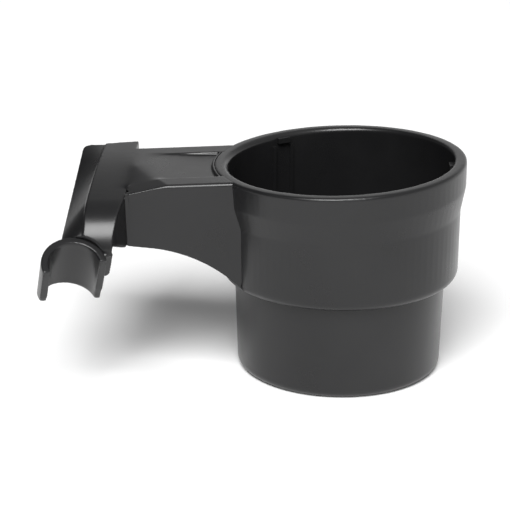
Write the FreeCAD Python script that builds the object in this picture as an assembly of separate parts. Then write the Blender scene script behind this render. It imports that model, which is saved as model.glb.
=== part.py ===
"""Clip-on cup holder with a telescoping cup.

The holder is a round collar with a side arm. The arm ends in a cored rail and in a half-round
saddle that sits on a round tube. A thin-walled cup hangs in the collar and slides up into it,
so that the holder packs flat.

Frame: +Z up, the origin is the centre of the cup's foot, the arm points to -X. Millimetres.
"""
import FreeCAD, Part
import math
import os

V = FreeCAD.Vector
UP = V(0, 0, 1)

# Overall
HEIGHT = 78.5               # rim above the surface the cup stands on
# Collar
RIM_R = 46.0
RIM_BAND = 9.6              # height of the widest band
CONE_DROP = 8.3             # height of the cone under the band
BARREL_R_TOP = 43.9
BARREL_R_LOW = 43.6
COLLAR_BORE_R = 41.1
COLLAR_BOTTOM_Z = 35.3
COLLAR_CORNER_R = 3.4
LIP_R = 39.3                # inward lip that carries the cup
LIP_T = 2.0
RIM_FILLET = 1.0
# Cup
CUP_R_TOP = 38.8
CUP_R_LOW = 37.8
CUP_FOOT_R = 3.2
CUP_BORE_R = 36.2
CUP_FLOOR_T = 1.8
FLOOR_R = 33.2               # flat middle of the floor
FLANGE_R = 40.7
FLANGE_T = 2.0
# Stops and guides inside the collar
STOP_ANGLES = (0, 120, 240)
STOP_WIDTH = 5.0
STOP_T = 2.0
STOP_REACH = 1.7
TRAVEL = 35.3
GUIDE_PITCH = 7.6           # between the two ribs of a pair
GUIDE_W = 1.4
GUIDE_PROUD = 0.9
GUIDE_GAP = 1.2             # from the ribs' tops to the stop tab
NOTCH_CLEAR = 0.4
# Arm. The rim and all that grows out of it stand a little off the barrel's axis, low on the arm's side.
SLANT = 2.0
SLANT_CENTRE = V(0, 0, 65.0)
ARM_HALF = 24.1
ARM_START_X = -84.0
DECK_T = 2.6
WALL_T = 2.4
ARM_EDGE_R = 1.2
ARM_WALL_POINTS = {          # lower edge of the side walls, as (x, z)
    "rail": (-84.0, 57.3),
    "knee": (-68.0, 55.1),
    "sweep": (-50.1, 48.7),
    "root": (-36.5, 37.4),
}
CORNER_DROP = 2.9           # fall of the deck's near corner at the rail
CORNER_LENGTH = 15.5
CORNER_DEPTH = 30.0
SPINE_T = 2.0
SPINE_LOW_Z = 60.0
CROSS_RIB_X = (-67.0, -55.0)
CROSS_RIB_T = 1.8
CROSS_RIB_LOW_Z = 62.0
PANEL_HALF = 15.0
PANEL_DEPTH = 1.1
PANEL_START_X = -73.0
PANEL_END_R = 46.5
RAIL_SIDE_X = -76.9         # where the near wall meets the rail
CREASE_W = 1.5              # groove between the near wall and the rail
CREASE_DEPTH = 1.4
CREASE_LOW_Z = 60.5
# Rail. s runs along it from the back end, u to the left of the plate's left edge.
RAIL_YAW = 3.6
RAIL_BACK = V(-87.2, 31.9, 0)
RAIL_RIGHT = ((-2.2, -12.3), (54.0, -13.7), (66.0, -11.3), (90.0, -4.0))
RAIL_START = -2.5           # s at which the rail's top line starts
BACK_CORNER_R = 3.2
RAIL_BOTTOM_Z = 57.5
STRIP_W = 8.5
STRIP_SUNK = 0.5
STRIP_OUTER_Z = 78.1        # outer edge of the strip at the back end
STRIP_SLOPE = 0.24
ROOF_T = 2.6
FLAT_LEN = 8.0              # level stretch of the rail's top
CROWN_R = 281.0             # long arc after it
CROWN_TURN = 9.8
NOSE_R = 18.0               # tight arc over the nose
NOSE_TURN = 78.0
STRIP_END_S = 77.0          # end of the strip along its outer edge
SIDE_FOOT = ((RAIL_START, RAIL_BOTTOM_Z), (52.0, RAIL_BOTTOM_Z), (57.0, 56.6), (69.0, 61.3), (90.0, 61.3))
RAIL_END = 90.0             # beyond the end of the nose
FULL_U = (-20.0, STRIP_W)   # the whole width of the rail
NOSE_CORE_S = (60.0, 90.0)  # the rail is solid here, behind the saddle
NOSE_CORE_U = (-9.0, STRIP_W)
NOSE_CORE_LOW_Z = 60.5
RAIL_RIB_S = (21.0, 43.0)
RAIL_RIB_LOW_Z = 63.0
# Saddle
TUBE_R = 8.9
SADDLE_T = 2.7
SADDLE_LEG = 1.3
SADDLE_LENGTH = 20.3        # along its centre line
END_ACROSS = 0.25           # slopes of the lower end, across and towards the opening
END_OUT = 0.284
SADDLE_TOP = V(-94.2, -46.0, 58.6)
SADDLE_TILT = 56.5          # the tube's slope above the horizontal
SADDLE_YAW = 20.0
SADDLE_ROLL = -3.0
SADDLE_NECK = 14.0          # height of the notch above the saddle
WEB_S = (50.0, 90.0)        # rib between the saddle's back and the rail
WEB_U = (1.5, 3.9)
WEB_LOW_Z = 50.0
GUSSET = ((8.6, 14.8), (-8.5, -1.5), (-13.5, -1.5))     # across, out and along the tube
GUSSET_R = 1.6

os.makedirs("parts", exist_ok=True)


def polar(radius, degrees, z=0.0):
    turn = math.radians(degrees)
    return V(radius * math.cos(turn), radius * math.sin(turn), z)


def revolve(outline):
    """Solid of revolution of a closed (r, z) wire about the cup's axis."""
    return Part.Face(outline).revolve(V(0, 0, 0), UP, 360)


def rz(r, z):
    return V(r, 0, z)


def lines(points):
    return [Part.makeLine(a, b) for a, b in zip(points, points[1:])]


def box(lo, hi):
    return Part.makeBox(hi[0] - lo[0], hi[1] - lo[1], hi[2] - lo[2], V(*lo))


def arc(start, middle, end):
    return Part.Arc(start, middle, end).toShape()


def slanted(shape):
    """Turn a shape from the rim's own frame, where the rim is level, into the part's frame."""
    shape = shape.copy()
    shape.rotate(SLANT_CENTRE, V(0, 1, 0), -SLANT)
    return shape


# ---------------------------------------------------------------- collar

def barrel_filled():
    """Upright lower part of the collar, without its bore."""
    corner = COLLAR_CORNER_R
    bend = corner * (1 - math.sqrt(0.5))
    cone_z = HEIGHT - RIM_BAND - CONE_DROP
    low = rz(BARREL_R_LOW - corner, COLLAR_BOTTOM_Z)
    side = rz(BARREL_R_LOW, COLLAR_BOTTOM_Z + corner)
    edges = [Part.makeLine(rz(0, COLLAR_BOTTOM_Z), low),
             arc(low, rz(BARREL_R_LOW - bend, COLLAR_BOTTOM_Z + bend), side)]
    edges += lines([side, rz(BARREL_R_TOP, cone_z + 4), rz(0, cone_z + 4), rz(0, COLLAR_BOTTOM_Z)])
    return revolve(Part.Wire(edges))


def rim_filled():
    """Cone, band and rounded rim, without the bore."""
    band_z = HEIGHT - RIM_BAND
    cone_z = band_z - CONE_DROP
    run_out = 1.5
    bend = RIM_FILLET * (1 - math.sqrt(0.5))
    inner_r = BARREL_R_TOP - run_out * (RIM_R - BARREL_R_TOP) / CONE_DROP
    shoulder = rz(RIM_R, HEIGHT - RIM_FILLET)
    crest_edge = rz(RIM_R - RIM_FILLET, HEIGHT)
    edges = lines([rz(0, HEIGHT), rz(0, cone_z - run_out), rz(inner_r, cone_z - run_out),
                   rz(RIM_R - 0.3, band_z), shoulder])
    edges.append(arc(shoulder, rz(RIM_R - bend, HEIGHT - bend), crest_edge))
    edges.append(Part.makeLine(crest_edge, rz(0, HEIGHT)))
    return slanted(revolve(Part.Wire(edges)))


def collar_filled():
    """The collar with its bore filled: everything the arm stops against."""
    return barrel_filled().fuse(rim_filled()).removeSplitter()


def collar_barrel(filled):
    lip_top = COLLAR_BOTTOM_Z + LIP_T
    bore = Part.makeCylinder(COLLAR_BORE_R, HEIGHT, V(0, 0, lip_top), UP)
    lip_bore = Part.makeCylinder(LIP_R, HEIGHT, V(0, 0, 0), UP)
    chamfer = 1.0
    flare = Part.makeCone(COLLAR_BORE_R - chamfer, COLLAR_BORE_R + 2 * chamfer, 3 * chamfer,
                          V(0, 0, HEIGHT - 2 * chamfer), UP)
    return filled.cut(bore).cut(lip_bore).cut(slanted(flare))


def on_bore(width, z_low, z_high, proud, degrees, offset=0.0):
    """Block on the collar's bore, standing `proud` of it towards the axis."""
    block = box((COLLAR_BORE_R - proud, offset - width / 2, z_low),
                (COLLAR_BORE_R + 1, offset + width / 2, z_high))
    block = block.common(Part.makeCylinder(COLLAR_BORE_R, z_high, V(0, 0, 0), UP))
    block.rotate(V(0, 0, 0), UP, degrees)
    return block


def flange_top_z():
    return COLLAR_BOTTOM_Z + LIP_T + FLANGE_T


def stop_z():
    return flange_top_z() + TRAVEL


def stop_tab(degrees):
    return on_bore(STOP_WIDTH, stop_z(), stop_z() + STOP_T, STOP_REACH, degrees)


def guide_rib(degrees, side):
    return on_bore(GUIDE_W, COLLAR_BOTTOM_Z + LIP_T, stop_z() - GUIDE_GAP, GUIDE_PROUD, degrees,
                   side * GUIDE_PITCH / 2)


# ---------------------------------------------------------------- cup

def cup_wall():
    """Tapered wall with a straight bore, standing on the rounded edge of its foot."""
    top = flange_top_z()
    bend = CUP_FOOT_R * (1 - math.sqrt(0.5))
    foot_in = rz(CUP_R_LOW - CUP_FOOT_R, 0)
    foot_side = rz(CUP_R_LOW, CUP_FOOT_R)
    ring = [
        Part.makeLine(rz(FLOOR_R, 0), foot_in),
        arc(foot_in, rz(CUP_R_LOW - bend, bend), foot_side),
        *lines([foot_side, rz(CUP_R_TOP, COLLAR_BOTTOM_Z), rz(CUP_R_TOP, top), rz(CUP_BORE_R, top),
                rz(CUP_BORE_R, CUP_FLOOR_T), rz(FLOOR_R, CUP_FLOOR_T),
                rz(FLOOR_R, 0)]),
    ]
    return revolve(Part.Wire(ring))


def cup_floor():
    return Part.makeCylinder(FLOOR_R, CUP_FLOOR_T, V(0, 0, 0), UP)


def cup_flange():
    """Ring round the cup's mouth that hangs on the collar's lip and slides on the guide ribs."""
    low = COLLAR_BOTTOM_Z + LIP_T
    ring = Part.makeCylinder(FLANGE_R, FLANGE_T, V(0, 0, low), UP)
    ring = ring.cut(Part.makeCylinder(CUP_R_TOP, FLANGE_T, V(0, 0, low), UP))
    for degrees in STOP_ANGLES:
        for side in (-1, 1):
            width = GUIDE_W + 2 * NOTCH_CLEAR
            notch = box((COLLAR_BORE_R - GUIDE_PROUD - NOTCH_CLEAR, side * GUIDE_PITCH / 2 - width / 2, low),
                        (RIM_R, side * GUIDE_PITCH / 2 + width / 2, low + FLANGE_T))
            notch.rotate(V(0, 0, 0), UP, degrees)
            ring = ring.cut(notch)
    return ring


# ---------------------------------------------------------------- arm

def arm_profile(top_z):
    """Side view of the arm as a face in the XZ plane: level top, lower edge swept to the collar."""
    rail, knee, sweep, root = (V(x, 0, z) for x, z in ARM_WALL_POINTS.values())
    edges = [Part.makeLine(rail, knee), arc(knee, sweep, root)]
    edges += lines([root, V(-30, 0, root.z), V(-30, 0, top_z), V(rail.x, 0, top_z), rail])
    return Part.Face(Part.Wire(edges))


def arm_slab(y_low, y_high, top_z):
    face = arm_profile(top_z)
    face.translate(V(0, y_low, 0))
    return face.extrude(V(0, y_high - y_low, 0))


def panel_pocket():
    """Sloping recess in the deck, deepest beside the rim, with its end round the rim's centre."""
    side = [V(PANEL_START_X, 0, HEIGHT), V(-PANEL_END_R, 0, HEIGHT - PANEL_DEPTH),
            V(-30, 0, HEIGHT - PANEL_DEPTH), V(-30, 0, HEIGHT + 1), V(PANEL_START_X, 0, HEIGHT + 1)]
    face = Part.Face(Part.makePolygon(side + side[:1]))
    face.translate(V(0, -PANEL_HALF, 0))
    pocket = face.extrude(V(0, 2 * PANEL_HALF, 0))
    return pocket.cut(Part.makeCylinder(PANEL_END_R, HEIGHT * 2, V(0, 0, 0), UP))


def corner_fall():
    """What the deck loses over its near corner, where it falls to the rail's nose."""
    along = V(RAIL_SIDE_X + CORNER_LENGTH, -ARM_HALF, HEIGHT)
    across = V(RAIL_SIDE_X, -ARM_HALF + CORNER_DEPTH, HEIGHT)
    corner = V(RAIL_SIDE_X, -ARM_HALF, HEIGHT - CORNER_DROP)
    normal = (along - corner).cross(across - corner)
    if normal.z < 0:
        normal = normal * -1
    return half_space(corner, normal)


def half_space(point, normal):
    """Large block on the side of a plane that its normal points to."""
    size = 2 * HEIGHT
    block = Part.makeBox(size, size, size, V(-size / 2, -size / 2, 0))
    block.Placement = FreeCAD.Placement(point, FreeCAD.Rotation(UP, normal.normalize()))
    return block


def arm_deck():
    deck = box((ARM_START_X, -ARM_HALF, HEIGHT - DECK_T), (-36.0, ARM_HALF, HEIGHT))
    long_edges = [e for e in deck.Edges
                  if all(abs(abs(v.Y) - ARM_HALF) < 0.01 and abs(v.Z - HEIGHT) < 0.01 for v in e.Vertexes)]
    return deck.makeFillet(ARM_EDGE_R, long_edges).cut(corner_fall()).cut(panel_pocket())


def arm_wall(side):
    outer, inner = side * ARM_HALF, side * (ARM_HALF - WALL_T)
    return arm_slab(min(outer, inner), max(outer, inner), HEIGHT - DECK_T)


def wall_crease():
    """Tapering groove where the near wall runs into the rail."""
    x, face = RAIL_SIDE_X, -ARM_HALF
    top = [V(x, face - 1, HEIGHT), V(x + CREASE_W, face - 1, HEIGHT), V(x, face + CREASE_DEPTH, HEIGHT)]
    tip = V(x + CREASE_W, face - 0.5, CREASE_LOW_Z)
    faces = [Part.Face(Part.makePolygon([top[i], top[(i + 1) % 3], tip, top[i]])) for i in range(3)]
    faces.append(Part.Face(Part.makePolygon(top + top[:1])))
    return Part.makeSolid(Part.makeShell(faces))


def arm_spine():
    """Stiffening rib along the arm's middle, under the deck."""
    half = SPINE_T / 2
    return arm_slab(-half, half, HEIGHT - DECK_T).common(box((-84, -2, SPINE_LOW_Z), (-30, 2, HEIGHT)))


def arm_cross_rib(x, side):
    inner, spine = ARM_HALF - WALL_T, SPINE_T / 2
    y_low, y_high = (spine, inner) if side > 0 else (-inner, -spine)
    return box((x - CROSS_RIB_T / 2, y_low, CROSS_RIB_LOW_Z), (x + CROSS_RIB_T / 2, y_high, HEIGHT - DECK_T))


# ---------------------------------------------------------------- rail

def rail_axes():
    yaw = math.radians(RAIL_YAW)
    return V(-math.sin(yaw), -math.cos(yaw), 0), V(-math.cos(yaw), math.sin(yaw), 0)


def at_rail(s, u, z):
    along, left = rail_axes()
    return RAIL_BACK + along * s + left * u + UP * z


def crest_stations():
    """Points (s, z) on the rail's top line: its start, the ends of its stretches and the arcs' middles."""
    def onward(start, radius, turn_from, turn_to):
        a0, a1 = math.radians(turn_from), math.radians(turn_to)
        return (start[0] + radius * (math.sin(a1) - math.sin(a0)),
                start[1] - radius * (math.cos(a0) - math.cos(a1)))
    start, flat_end = (RAIL_START, HEIGHT), (FLAT_LEN, HEIGHT)
    crown_mid = onward(flat_end, CROWN_R, 0, CROWN_TURN / 2)
    crown_end = onward(flat_end, CROWN_R, 0, CROWN_TURN)
    nose_mid = onward(crown_end, NOSE_R, CROWN_TURN, (CROWN_TURN + NOSE_TURN) / 2)
    nose_end = onward(crown_end, NOSE_R, CROWN_TURN, NOSE_TURN)
    return start, flat_end, crown_mid, crown_end, nose_mid, nose_end


def crest_section(u, lower, floor_z):
    """Closed outline in the plane of one u: the top line above, level below."""
    start, flat_end, crown_mid, crown_end, nose_mid, nose_end = (
        at_rail(s, u, z - lower) for s, z in crest_stations())
    front, back = V(nose_end.x, nose_end.y, floor_z), V(start.x, start.y, floor_z)
    return Part.Wire([Part.makeLine(start, flat_end), arc(flat_end, crown_mid, crown_end),
                      arc(crown_end, nose_mid, nose_end), *lines([nose_end, front, back, start])])


def strip_outer_section(floor_z):
    """Outline of the strip's outer side: a straight slope with as many edges as the top line."""
    stations = crest_stations()
    top = [at_rail(s, STRIP_W, STRIP_OUTER_Z - STRIP_SLOPE * s)
           for s in (stations[0][0], stations[1][0], stations[3][0], STRIP_END_S)]
    front, back = V(top[-1].x, top[-1].y, floor_z), V(top[0].x, top[0].y, floor_z)
    return Part.makePolygon(top + [front, back, top[0]])


def plate_block():
    """All that lies under the plate's top, between its left edge and its right edge."""
    deep = 40.0
    block = Part.Face(crest_section(0, 0, deep)).extrude(rail_axes()[1] * -20)
    return block.common(rail_plan(0))


def strip_block():
    """All that lies under the strip, which falls away from the plate's left edge."""
    deep = 40.0
    block = Part.makeLoft([crest_section(0, STRIP_SUNK, deep), strip_outer_section(deep)], True, True)
    return block.common(rail_plan(0))


def rail_plan(inset):
    """Upright prism of the rail's plan, its right side moved in by `inset`."""
    corners = [at_rail(s, u + inset, 0) for s, u in RAIL_RIGHT]
    rounding = BACK_CORNER_R
    bend = rounding * (1 - math.sqrt(0.5))
    side = at_rail(rounding, STRIP_W, 0)
    back = at_rail(0, STRIP_W - rounding, 0)
    edges = lines(corners + [at_rail(RAIL_RIGHT[-1][0], STRIP_W, 0), side])
    edges += [arc(side, at_rail(bend, STRIP_W - bend, 0), back)]
    edges += lines([back, at_rail(0, 0, 0), corners[0]])
    return Part.Face(Part.Wire(edges)).extrude(UP * 2 * HEIGHT)


def skin(block):
    """The block's top layer."""
    return block.cut(block.translated(UP * -ROOF_T))


def rail_block(s_range, u_range, low):
    """Upright block in the rail's axes, from a height upwards."""
    (s0, s1), (u0, u1) = s_range, u_range
    corners = [at_rail(s, u, low) for s, u in ((s0, u0), (s1, u0), (s1, u1), (s0, u1))]
    return Part.Face(Part.makePolygon(corners + corners[:1])).extrude(UP * HEIGHT)


def under_roof():
    """Room under the rail's skin, within its plan."""
    return plate_block().fuse(strip_block()).translated(UP * -ROOF_T).common(rail_plan(0))


def rail_wall_right(room):
    """Right wall, following the plan's bend, with a lower edge that drops towards the nose."""
    foot = [at_rail(s, -20, z) for s, z in SIDE_FOOT]
    foot += [at_rail(SIDE_FOOT[-1][0], -20, 2 * HEIGHT), at_rail(RAIL_START, -20, 2 * HEIGHT)]
    side = Part.Face(Part.makePolygon(foot + foot[:1])).extrude(rail_axes()[1] * 30)
    return room.common(side).cut(rail_plan(WALL_T))


def rail_wall_left(room):
    return room.common(rail_block((RAIL_START, RAIL_END), (STRIP_W - WALL_T, STRIP_W), RAIL_BOTTOM_Z))


# ---------------------------------------------------------------- saddle

def saddle_axes():
    """Unit vectors up the tube, across the saddle and out of its opening."""
    tilt, yaw, roll = (math.radians(a) for a in (SADDLE_TILT, SADDLE_YAW, SADDLE_ROLL))
    tube = V(math.cos(tilt) * math.sin(yaw), -math.cos(tilt) * math.cos(yaw), math.sin(tilt))
    level = V(math.cos(yaw), math.sin(yaw), 0)
    out = level.cross(tube)
    if out.y > 0:
        out = out * -1
    return tube, level * math.cos(roll) + out * math.sin(roll), out * math.cos(roll) - level * math.sin(roll)


def half_round(radius, leg, t_high, t_low):
    """Half cylinder with straight legs towards the opening, between two heights along the tube."""
    tube, across, out = saddle_axes()
    top = SADDLE_TOP + tube * t_high
    right, left = top + across * radius, top - across * radius
    edges = [arc(right, top - out * radius, left)]
    edges += lines([left, left + out * leg, right + out * leg, right])
    return Part.Face(Part.Wire(edges)).extrude(tube * (t_low - t_high))


def in_saddle(across_range, out_range, tube_range):
    """Box in the saddle's own axes, measured from the centre of its top end."""
    tube, across, out = saddle_axes()
    (a0, a1), (o0, o1), (t0, t1) = across_range, out_range, tube_range
    corners = [SADDLE_TOP + across * a + out * o + tube * t0
               for a, o in ((a0, o0), (a1, o0), (a1, o1), (a0, o1))]
    return Part.Face(Part.makePolygon(corners + corners[:1])).extrude(tube * (t1 - t0))


def saddle_void():
    """Room for the tube: its own radius inside the saddle, the saddle's outer radius above it."""
    far = 4 * TUBE_R
    above = half_round(TUBE_R + SADDLE_T, far, SADDLE_NECK, 0)
    return half_round(TUBE_R, far, 0, -2 * SADDLE_LENGTH).fuse(above)


def tube_saddle(void):
    """Half-round seat, its lower end cut off askew: the left leg is the shortest."""
    tube, across, out = saddle_axes()
    low_side = across * -END_ACROSS + out * END_OUT - tube
    beyond_end = half_space(SADDLE_TOP - tube * SADDLE_LENGTH, low_side)
    return half_round(TUBE_R + SADDLE_T, SADDLE_LEG, 0, -2 * SADDLE_LENGTH).cut(beyond_end).cut(void)


def saddle_gusset():
    """Rib along the right of the saddle's back, rounded at its lower end."""
    rib = in_saddle(*GUSSET)
    low = GUSSET[2][0]
    tube, _, _ = saddle_axes()
    edges = [e for e in rib.Edges
             if all(abs((v.Point - SADDLE_TOP).dot(tube) - low) < 0.01 for v in e.Vertexes)]
    return rib.makeFillet(GUSSET_R, edges[1:2] + edges[3:4])


def largest(shape):
    return max(shape.Solids, key=lambda solid: solid.Volume)


# ---------------------------------------------------------------- assembly

def arm_features():
    beside = rail_plan(0)
    walls = [("arm_deck", arm_deck().cut(beside)),
             ("arm_wall_near", arm_wall(-1).cut(beside).cut(wall_crease())),
             ("arm_wall_far", arm_wall(1).cut(beside)),
             ("arm_spine_rib", arm_spine().cut(beside))]
    ribs = [(f"arm_cross_rib_{number}_{name}", arm_cross_rib(x, side))
            for number, x in enumerate(CROSS_RIB_X, 1) for name, side in (("near", -1), ("far", 1))]
    return walls + ribs


def rail_features():
    room = under_roof()
    void = saddle_void()
    features = [("tube_saddle", tube_saddle(void)),
                ("rail_plate", skin(plate_block())),
                ("rail_strip", skin(strip_block())),
                ("rail_wall_right", rail_wall_right(room)),
                ("rail_wall_left", rail_wall_left(room)),
                ("rail_end_wall", room.common(rail_block((RAIL_START, WALL_T), FULL_U, RAIL_BOTTOM_Z))),
                ("rail_nose_core", room.common(rail_block(NOSE_CORE_S, NOSE_CORE_U, NOSE_CORE_LOW_Z))),
                ("saddle_gusset", saddle_gusset()),
                ("saddle_web", room.common(rail_block(WEB_S, WEB_U, WEB_LOW_Z)))]
    for number, s in enumerate(RAIL_RIB_S, 1):
        rib = room.common(rail_block((s, s + CROSS_RIB_T), FULL_U, RAIL_RIB_LOW_Z))
        features.append((f"rail_cross_rib_{number}", rib))
    return [(name, shape.cut(void)) for name, shape in features]


def holder_nodes():
    """The holder's features, each cut back to the faces of those before it."""
    filled = collar_filled()
    nodes = [("collar_barrel", collar_barrel(filled))]
    for name, shape in rail_features() + arm_features():
        shape = slanted(shape).cut(filled)
        for _, other in nodes[1:]:
            if shape.BoundBox.intersect(other.BoundBox):
                shape = shape.cut(other)
        nodes.append((name, largest(shape)))
    for degrees in STOP_ANGLES:
        nodes.append((f"stop_tab_{degrees:03d}", stop_tab(degrees)))
        ribs = Part.makeCompound([guide_rib(degrees, side) for side in (-1, 1)])
        nodes.append((f"guide_ribs_{degrees:03d}", ribs))
    return nodes


def cup_nodes():
    return [("cup_wall", cup_wall()), ("cup_floor", cup_floor()), ("cup_flange", cup_flange())]


for node, solid in holder_nodes() + cup_nodes():
    print(f"{node:22s} solids {len(solid.Solids)}  valid {solid.isValid()}  volume {solid.Volume:9.1f}")
    solid.exportStep(f"parts/{node}.step")
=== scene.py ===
"""Looks of a clip-on cup holder with a telescoping cup: moulded black plastic, in a white studio."""
import bmesh
import bpy
import math
from mathutils import Matrix, Vector

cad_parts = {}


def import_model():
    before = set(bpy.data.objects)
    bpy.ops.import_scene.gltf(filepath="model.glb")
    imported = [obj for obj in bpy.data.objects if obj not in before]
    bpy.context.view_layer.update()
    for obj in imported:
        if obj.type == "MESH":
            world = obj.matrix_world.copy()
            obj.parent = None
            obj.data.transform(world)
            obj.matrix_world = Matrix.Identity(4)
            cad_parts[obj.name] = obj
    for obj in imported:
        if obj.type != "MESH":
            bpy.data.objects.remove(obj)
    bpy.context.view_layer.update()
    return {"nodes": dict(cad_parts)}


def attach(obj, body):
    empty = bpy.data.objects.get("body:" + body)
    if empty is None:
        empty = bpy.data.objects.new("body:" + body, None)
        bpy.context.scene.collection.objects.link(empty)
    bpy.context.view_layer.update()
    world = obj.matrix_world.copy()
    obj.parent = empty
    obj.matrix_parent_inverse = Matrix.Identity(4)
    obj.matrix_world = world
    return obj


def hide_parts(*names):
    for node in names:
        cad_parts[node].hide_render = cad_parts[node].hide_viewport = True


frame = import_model()
NODES = frame["nodes"]
MM = 0.001

# Plastic. A noise is its scale per metre, its detail and its roughness; a span is the part of the
# noise's values that is spread over the whole result.
PLASTIC_IOR = 1.46
PLASTIC_DARK = (0.008, 0.008, 0.0085, 1)
HOLDER_LIGHT = (0.011, 0.011, 0.0115, 1)
CUP_LIGHT = (0.012, 0.012, 0.0125, 1)
PLASTIC_ROUGHNESS = (0.26, 0.34)
FLOW_NOISE = (28.0, 3.0, 0.5)
FLOW_SPAN = (0.35, 0.65)
GLOSS_NOISE = (55.0, 4.0, 0.6)
GLOSS_SPAN = (0.3, 0.7)
HOLDER_GRAIN = 0.10
CUP_GRAIN = 0.08
FINE_NOISE = (3200.0, 2.0, 0.5)
FINE_DEPTH = 0.06 * MM
COARSE_NOISE = (260.0, 2.0, 0.5)
COARSE_DEPTH = 0.2 * MM
COARSE_SHARE = 0.5          # strength of the coarse grain against the fine one

# Mouldings. The arm's skin runs on into the collar's wall, raised a little so that no faces coincide.
ARM_SKIN = ["arm_deck", "arm_wall_near", "arm_wall_far"]
INTO_COLLAR = Vector((2.4, 0, 0.03)) * MM
SMOOTH_FACTOR = 0.5

# Blends, in mm. A range runs from no blend at its first value to full at its second.
DECK_RAIL_X = (-87, -82)
DECK_COLLAR_X = (-63, -69)
DECK_NEAR_Y = (-17, -14)
DECK_FAR_Y = (17, 14)
DECK_UNDER_Z = (61, 64)
DECK_ROUNDS = 260
SADDLE_TOP = Vector((-93.9, -46.0, 55.3))                   # the saddle's upper end, on the tube's axis
SADDLE_DOWN = Vector((-0.16, 0.519, -0.84)).normalized()    # along that axis
ARCH_DEPTH = (2.8, 1.4)
ARCH_RADIUS = (12.2, 11.6)
ARCH_ROUNDS = 40
LEG_END_Z = (42, 39)
LEG_END_X = (-78, -80)
LEG_END_ROUNDS = 130

# World. Its brightness falls from BACKDROP round the horizon to OVERHEAD, and is then multiplied by a
# share for the camera's side and by one for the left. Each range lies along one axis of the direction
# looked in, from -1 to 1.
BACKDROP = 1.0
OVERHEAD = 0.4
OVERHEAD_Z = (0.05, 0.48)
CAMERA_SIDE = 0.5
CAMERA_SIDE_Y = (-0.9, 0.1)
LEFT_SIDE = 0.1
LEFT_SIDE_X = (-0.32, 0.0)

# Softbox and floor, in metres.
KEY_DISTANCE = 6.0
KEY_AZIMUTH = -11.0         # degrees round from the -Y side, towards -X when negative
KEY_ELEVATION = 50.0
KEY_SIZE = 3.4
KEY_POWER = 540.0
FLOOR_SIZE = 6.0
FLOOR_WHITE = (0.92, 0.92, 0.92, 1)
FLOOR_ROUGHNESS = 0.9
FLOOR_SPECULAR = 0.1

# Camera. The sensor and the lens are in mm, the angles in degrees.
CAMERA_DISTANCE = 0.7
CAMERA_ELEVATION = 19.86
CAMERA_AZIMUTH = -0.5
CAMERA_TARGET = Vector((-31.34, 0, 41.5)) * MM
SENSOR_WIDTH = 36.0
LENS = 133.487


# ---------------------------------------------------------------- materials

def node(tree, kind, inputs=None, **settings):
    made = tree.nodes.new(kind)
    for key, value in settings.items():
        setattr(made, key, value)
    for key, value in (inputs or {}).items():
        made.inputs[key].default_value = value
    return made


def map_range(tree, source, span, result, **settings):
    """The source's values over span, mapped to result."""
    made = node(tree, "ShaderNodeMapRange", {"From Min": span[0], "From Max": span[1],
                                             "To Min": result[0], "To Max": result[1]}, **settings)
    tree.links.new(source, made.inputs["Value"])
    return made.outputs["Result"]


def moulded_plastic(name, light, grain):
    """Black moulded plastic: faint flow marks in the colour, patches in the gloss, and two grains."""
    material = bpy.data.materials.new(name)
    material.use_nodes = True
    tree = material.node_tree
    shader = tree.nodes["Principled BSDF"]
    shader.inputs["IOR"].default_value = PLASTIC_IOR
    place = node(tree, "ShaderNodeTexCoord")

    def noise(scale, detail, roughness):
        made = node(tree, "ShaderNodeTexNoise",
                    {"Scale": scale, "Detail": detail, "Roughness": roughness})
        tree.links.new(place.outputs["Object"], made.inputs["Vector"])
        return made.outputs["Fac"]

    def bump(height, strength, depth):
        made = node(tree, "ShaderNodeBump", {"Strength": strength, "Distance": depth})
        tree.links.new(height, made.inputs["Height"])
        return made

    colour = node(tree, "ShaderNodeMix", {"A": PLASTIC_DARK, "B": light}, data_type="RGBA")
    flow = map_range(tree, noise(*FLOW_NOISE), FLOW_SPAN, (0.0, 1.0))
    tree.links.new(flow, colour.inputs["Factor"])
    tree.links.new(colour.outputs["Result"], shader.inputs["Base Color"])

    gloss = map_range(tree, noise(*GLOSS_NOISE), GLOSS_SPAN, PLASTIC_ROUGHNESS)
    tree.links.new(gloss, shader.inputs["Roughness"])

    fine = bump(noise(*FINE_NOISE), grain, FINE_DEPTH)
    coarse = bump(noise(*COARSE_NOISE), grain * COARSE_SHARE, COARSE_DEPTH)
    tree.links.new(fine.outputs["Normal"], coarse.inputs["Normal"])
    tree.links.new(coarse.outputs["Normal"], shader.inputs["Normal"])
    return material


def dress(obj, material):
    obj.data.materials.clear()
    obj.data.materials.append(material)


HOLDER_PLASTIC = moulded_plastic("holder_plastic", HOLDER_LIGHT, HOLDER_GRAIN)
CUP_PLASTIC = moulded_plastic("cup_plastic", CUP_LIGHT, CUP_GRAIN)


# ---------------------------------------------------------------- moulded pieces

def link(name, data):
    obj = bpy.data.objects.new(name, data)
    bpy.context.scene.collection.objects.link(obj)
    return obj


def apply_modifiers(obj):
    bpy.context.view_layer.update()
    graph = bpy.context.evaluated_depsgraph_get()
    mesh = bpy.data.meshes.new_from_object(obj.evaluated_get(graph))
    obj.modifiers.clear()
    obj.data = mesh


def soften(obj, rounds, group=""):
    """Smooth the whole surface, or one vertex group of it."""
    smooth = obj.modifiers.new("soften", "SMOOTH")
    smooth.factor = SMOOTH_FACTOR
    smooth.iterations = rounds
    smooth.vertex_group = group


def blend(obj, weigh, rounds):
    """Run the surface together where the weight of a point, in mm, is above 0."""
    group = obj.vertex_groups.new(name="blend")
    for vertex in obj.data.vertices:
        amount = weigh(vertex.co / MM)
        if amount > 0:
            group.add([vertex.index], amount, "REPLACE")
    soften(obj, rounds, group.name)
    apply_modifiers(obj)
    obj.vertex_groups.clear()


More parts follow.
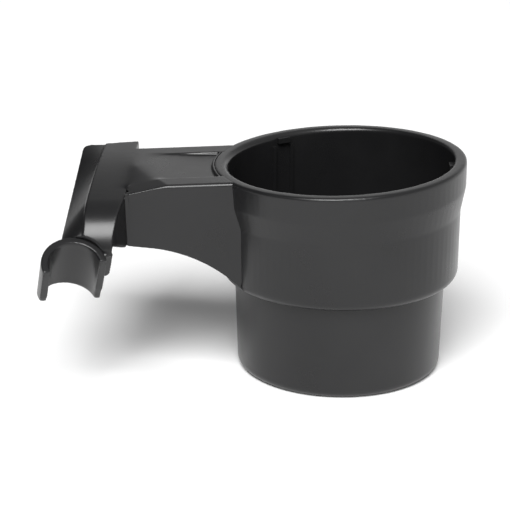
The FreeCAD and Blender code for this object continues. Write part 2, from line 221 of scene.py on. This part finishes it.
def ease(value, start, end):
    """0 at start, 1 at end, smooth between."""
    t = min(max((value - start) / (end - start), 0.0), 1.0)
    return t * t * (3 - 2 * t)


def deck_weight(point):
    """The deck's rise into the rail's plate; the near wall's edge and the far edge stay crisp."""
    along = ease(point.x, *DECK_RAIL_X) * ease(point.x, *DECK_COLLAR_X)
    across = ease(point.y, *DECK_NEAR_Y) * ease(point.y, *DECK_FAR_Y)
    return along * across * ease(point.z, *DECK_UNDER_Z)


def arch_weight(point):
    """The top end of the saddle."""
    depth = (point - SADDLE_TOP).dot(SADDLE_DOWN)
    off_axis = (point - SADDLE_TOP - SADDLE_DOWN * depth).length
    return ease(depth, *ARCH_DEPTH) * ease(off_axis, *ARCH_RADIUS)


def leg_end_weight(point):
    """The lower ends of the saddle's legs."""
    return ease(point.z, *LEG_END_Z) * ease(point.x, *LEG_END_X)


def finish_piece(obj, members, material, body):
    for face in obj.data.polygons:
        face.use_smooth = True
    dress(obj, material)
    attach(obj, body)
    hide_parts(*members)


def moulding(name, members, voxel, smooth, faces, joined_to_collar=(), blends=()):
    """One soft-edged moulding made from CAD nodes of the holder: edges rounded and joints closed.

    voxel is in mm, smooth counts the rounds of smoothing, and faces is the share of them that is kept.
    Members in joined_to_collar are also run a little way into the collar's wall.
    """
    sheet = bmesh.new()
    for member in members:
        sheet.from_mesh(NODES[member].data)
    for member in joined_to_collar:
        start = len(sheet.verts)
        sheet.from_mesh(NODES[member].data)
        sheet.verts.ensure_lookup_table()
        bmesh.ops.translate(sheet, verts=sheet.verts[start:], vec=INTO_COLLAR)
    mesh = bpy.data.meshes.new(name)
    sheet.to_mesh(mesh)
    sheet.free()
    obj = link(name, mesh)
    remesh = obj.modifiers.new("remesh", "REMESH")
    remesh.mode = "VOXEL"
    remesh.voxel_size = voxel * MM
    soften(obj, smooth)
    thin = obj.modifiers.new("thin", "DECIMATE")
    thin.ratio = faces
    apply_modifiers(obj)
    for weigh, rounds in blends:
        blend(obj, weigh, rounds)
    finish_piece(obj, members, HOLDER_PLASTIC, "holder")


def pieces():
    """The arm with the rail, the saddle and the collar. The other nodes show as they are."""
    clip_nodes = sorted(n for n in NODES if n.startswith(("arm_", "rail_", "saddle_")))
    moulding("clip_moulding", clip_nodes, voxel=0.28, smooth=9, faces=0.5,
             joined_to_collar=ARM_SKIN, blends=[(deck_weight, DECK_ROUNDS)])
    moulding("saddle_moulding", ["tube_saddle"], voxel=0.25, smooth=6, faces=0.7,
             blends=[(arch_weight, ARCH_ROUNDS), (leg_end_weight, LEG_END_ROUNDS)])
    moulding("collar_moulding", ["collar_barrel"], voxel=0.32, smooth=18, faces=0.6)
    for name, obj in NODES.items():
        dress(obj, CUP_PLASTIC if name.startswith("cup_") else HOLDER_PLASTIC)


# ---------------------------------------------------------------- studio

def world():
    """White backdrop round the horizon, darker overhead, on the camera's side and on the left."""
    studio = bpy.data.worlds.new("studio")
    bpy.context.scene.world = studio
    studio.use_nodes = True
    tree = studio.node_tree
    place = node(tree, "ShaderNodeTexCoord")
    split = node(tree, "ShaderNodeSeparateXYZ")
    tree.links.new(place.outputs["Generated"], split.inputs["Vector"])

    def ramp(axis, span, result):
        return map_range(tree, split.outputs[axis], span, result, interpolation_type="SMOOTHSTEP")

    def product(first, second):
        made = node(tree, "ShaderNodeMath", operation="MULTIPLY")
        tree.links.new(first, made.inputs[0])
        tree.links.new(second, made.inputs[1])
        return made.outputs["Value"]

    height = ramp("Z", OVERHEAD_Z, (BACKDROP, OVERHEAD))
    front = ramp("Y", CAMERA_SIDE_Y, (CAMERA_SIDE, 1.0))
    left = ramp("X", LEFT_SIDE_X, (LEFT_SIDE, 1.0))
    background = tree.nodes["Background"]
    background.inputs["Color"].default_value = (1, 1, 1, 1)
    tree.links.new(product(product(height, front), left), background.inputs["Strength"])


def floor():
    """Plain pale floor."""
    bpy.ops.mesh.primitive_plane_add(size=FLOOR_SIZE, location=(0, 0, 0))
    obj = bpy.context.object
    obj.name = "floor"
    material = bpy.data.materials.new("floor_white")
    material.use_nodes = True
    shader = material.node_tree.nodes["Principled BSDF"]
    shader.inputs["Base Color"].default_value = FLOOR_WHITE
    shader.inputs["Roughness"].default_value = FLOOR_ROUGHNESS
    shader.inputs["Specular IOR Level"].default_value = FLOOR_SPECULAR
    dress(obj, material)


def key_light():
    """One large square softbox, turned to the origin."""
    light = bpy.data.lights.new("key", "AREA")
    light.size = KEY_SIZE
    light.energy = KEY_POWER
    azimuth, elevation = math.radians(KEY_AZIMUTH), math.radians(KEY_ELEVATION)
    level = math.cos(elevation)
    toward = Vector((math.sin(azimuth) * level, -math.cos(azimuth) * level, math.sin(elevation)))
    obj = link("key", light)
    obj.location = toward * KEY_DISTANCE
    obj.rotation_euler = toward.to_track_quat("Z", "Y").to_euler()


def camera():
    """Camera at the viewing angle, with a long lens."""
    elevation = math.radians(CAMERA_ELEVATION)
    offset = Vector((0, -math.cos(elevation), math.sin(elevation))) * CAMERA_DISTANCE
    turn = Matrix.Rotation(math.radians(CAMERA_AZIMUTH), 3, "Z")
    data = bpy.data.cameras.new("camera")
    data.sensor_width = SENSOR_WIDTH
    data.lens = LENS
    obj = link("camera", data)
    obj.location = turn @ (CAMERA_TARGET + offset)
    obj.rotation_euler = (turn @ -offset).to_track_quat("-Z", "Y").to_euler()
    bpy.context.scene.camera = obj


pieces()
world()
floor()
key_light()
camera()
bpy.context.scene.view_settings.view_transform = "Standard"
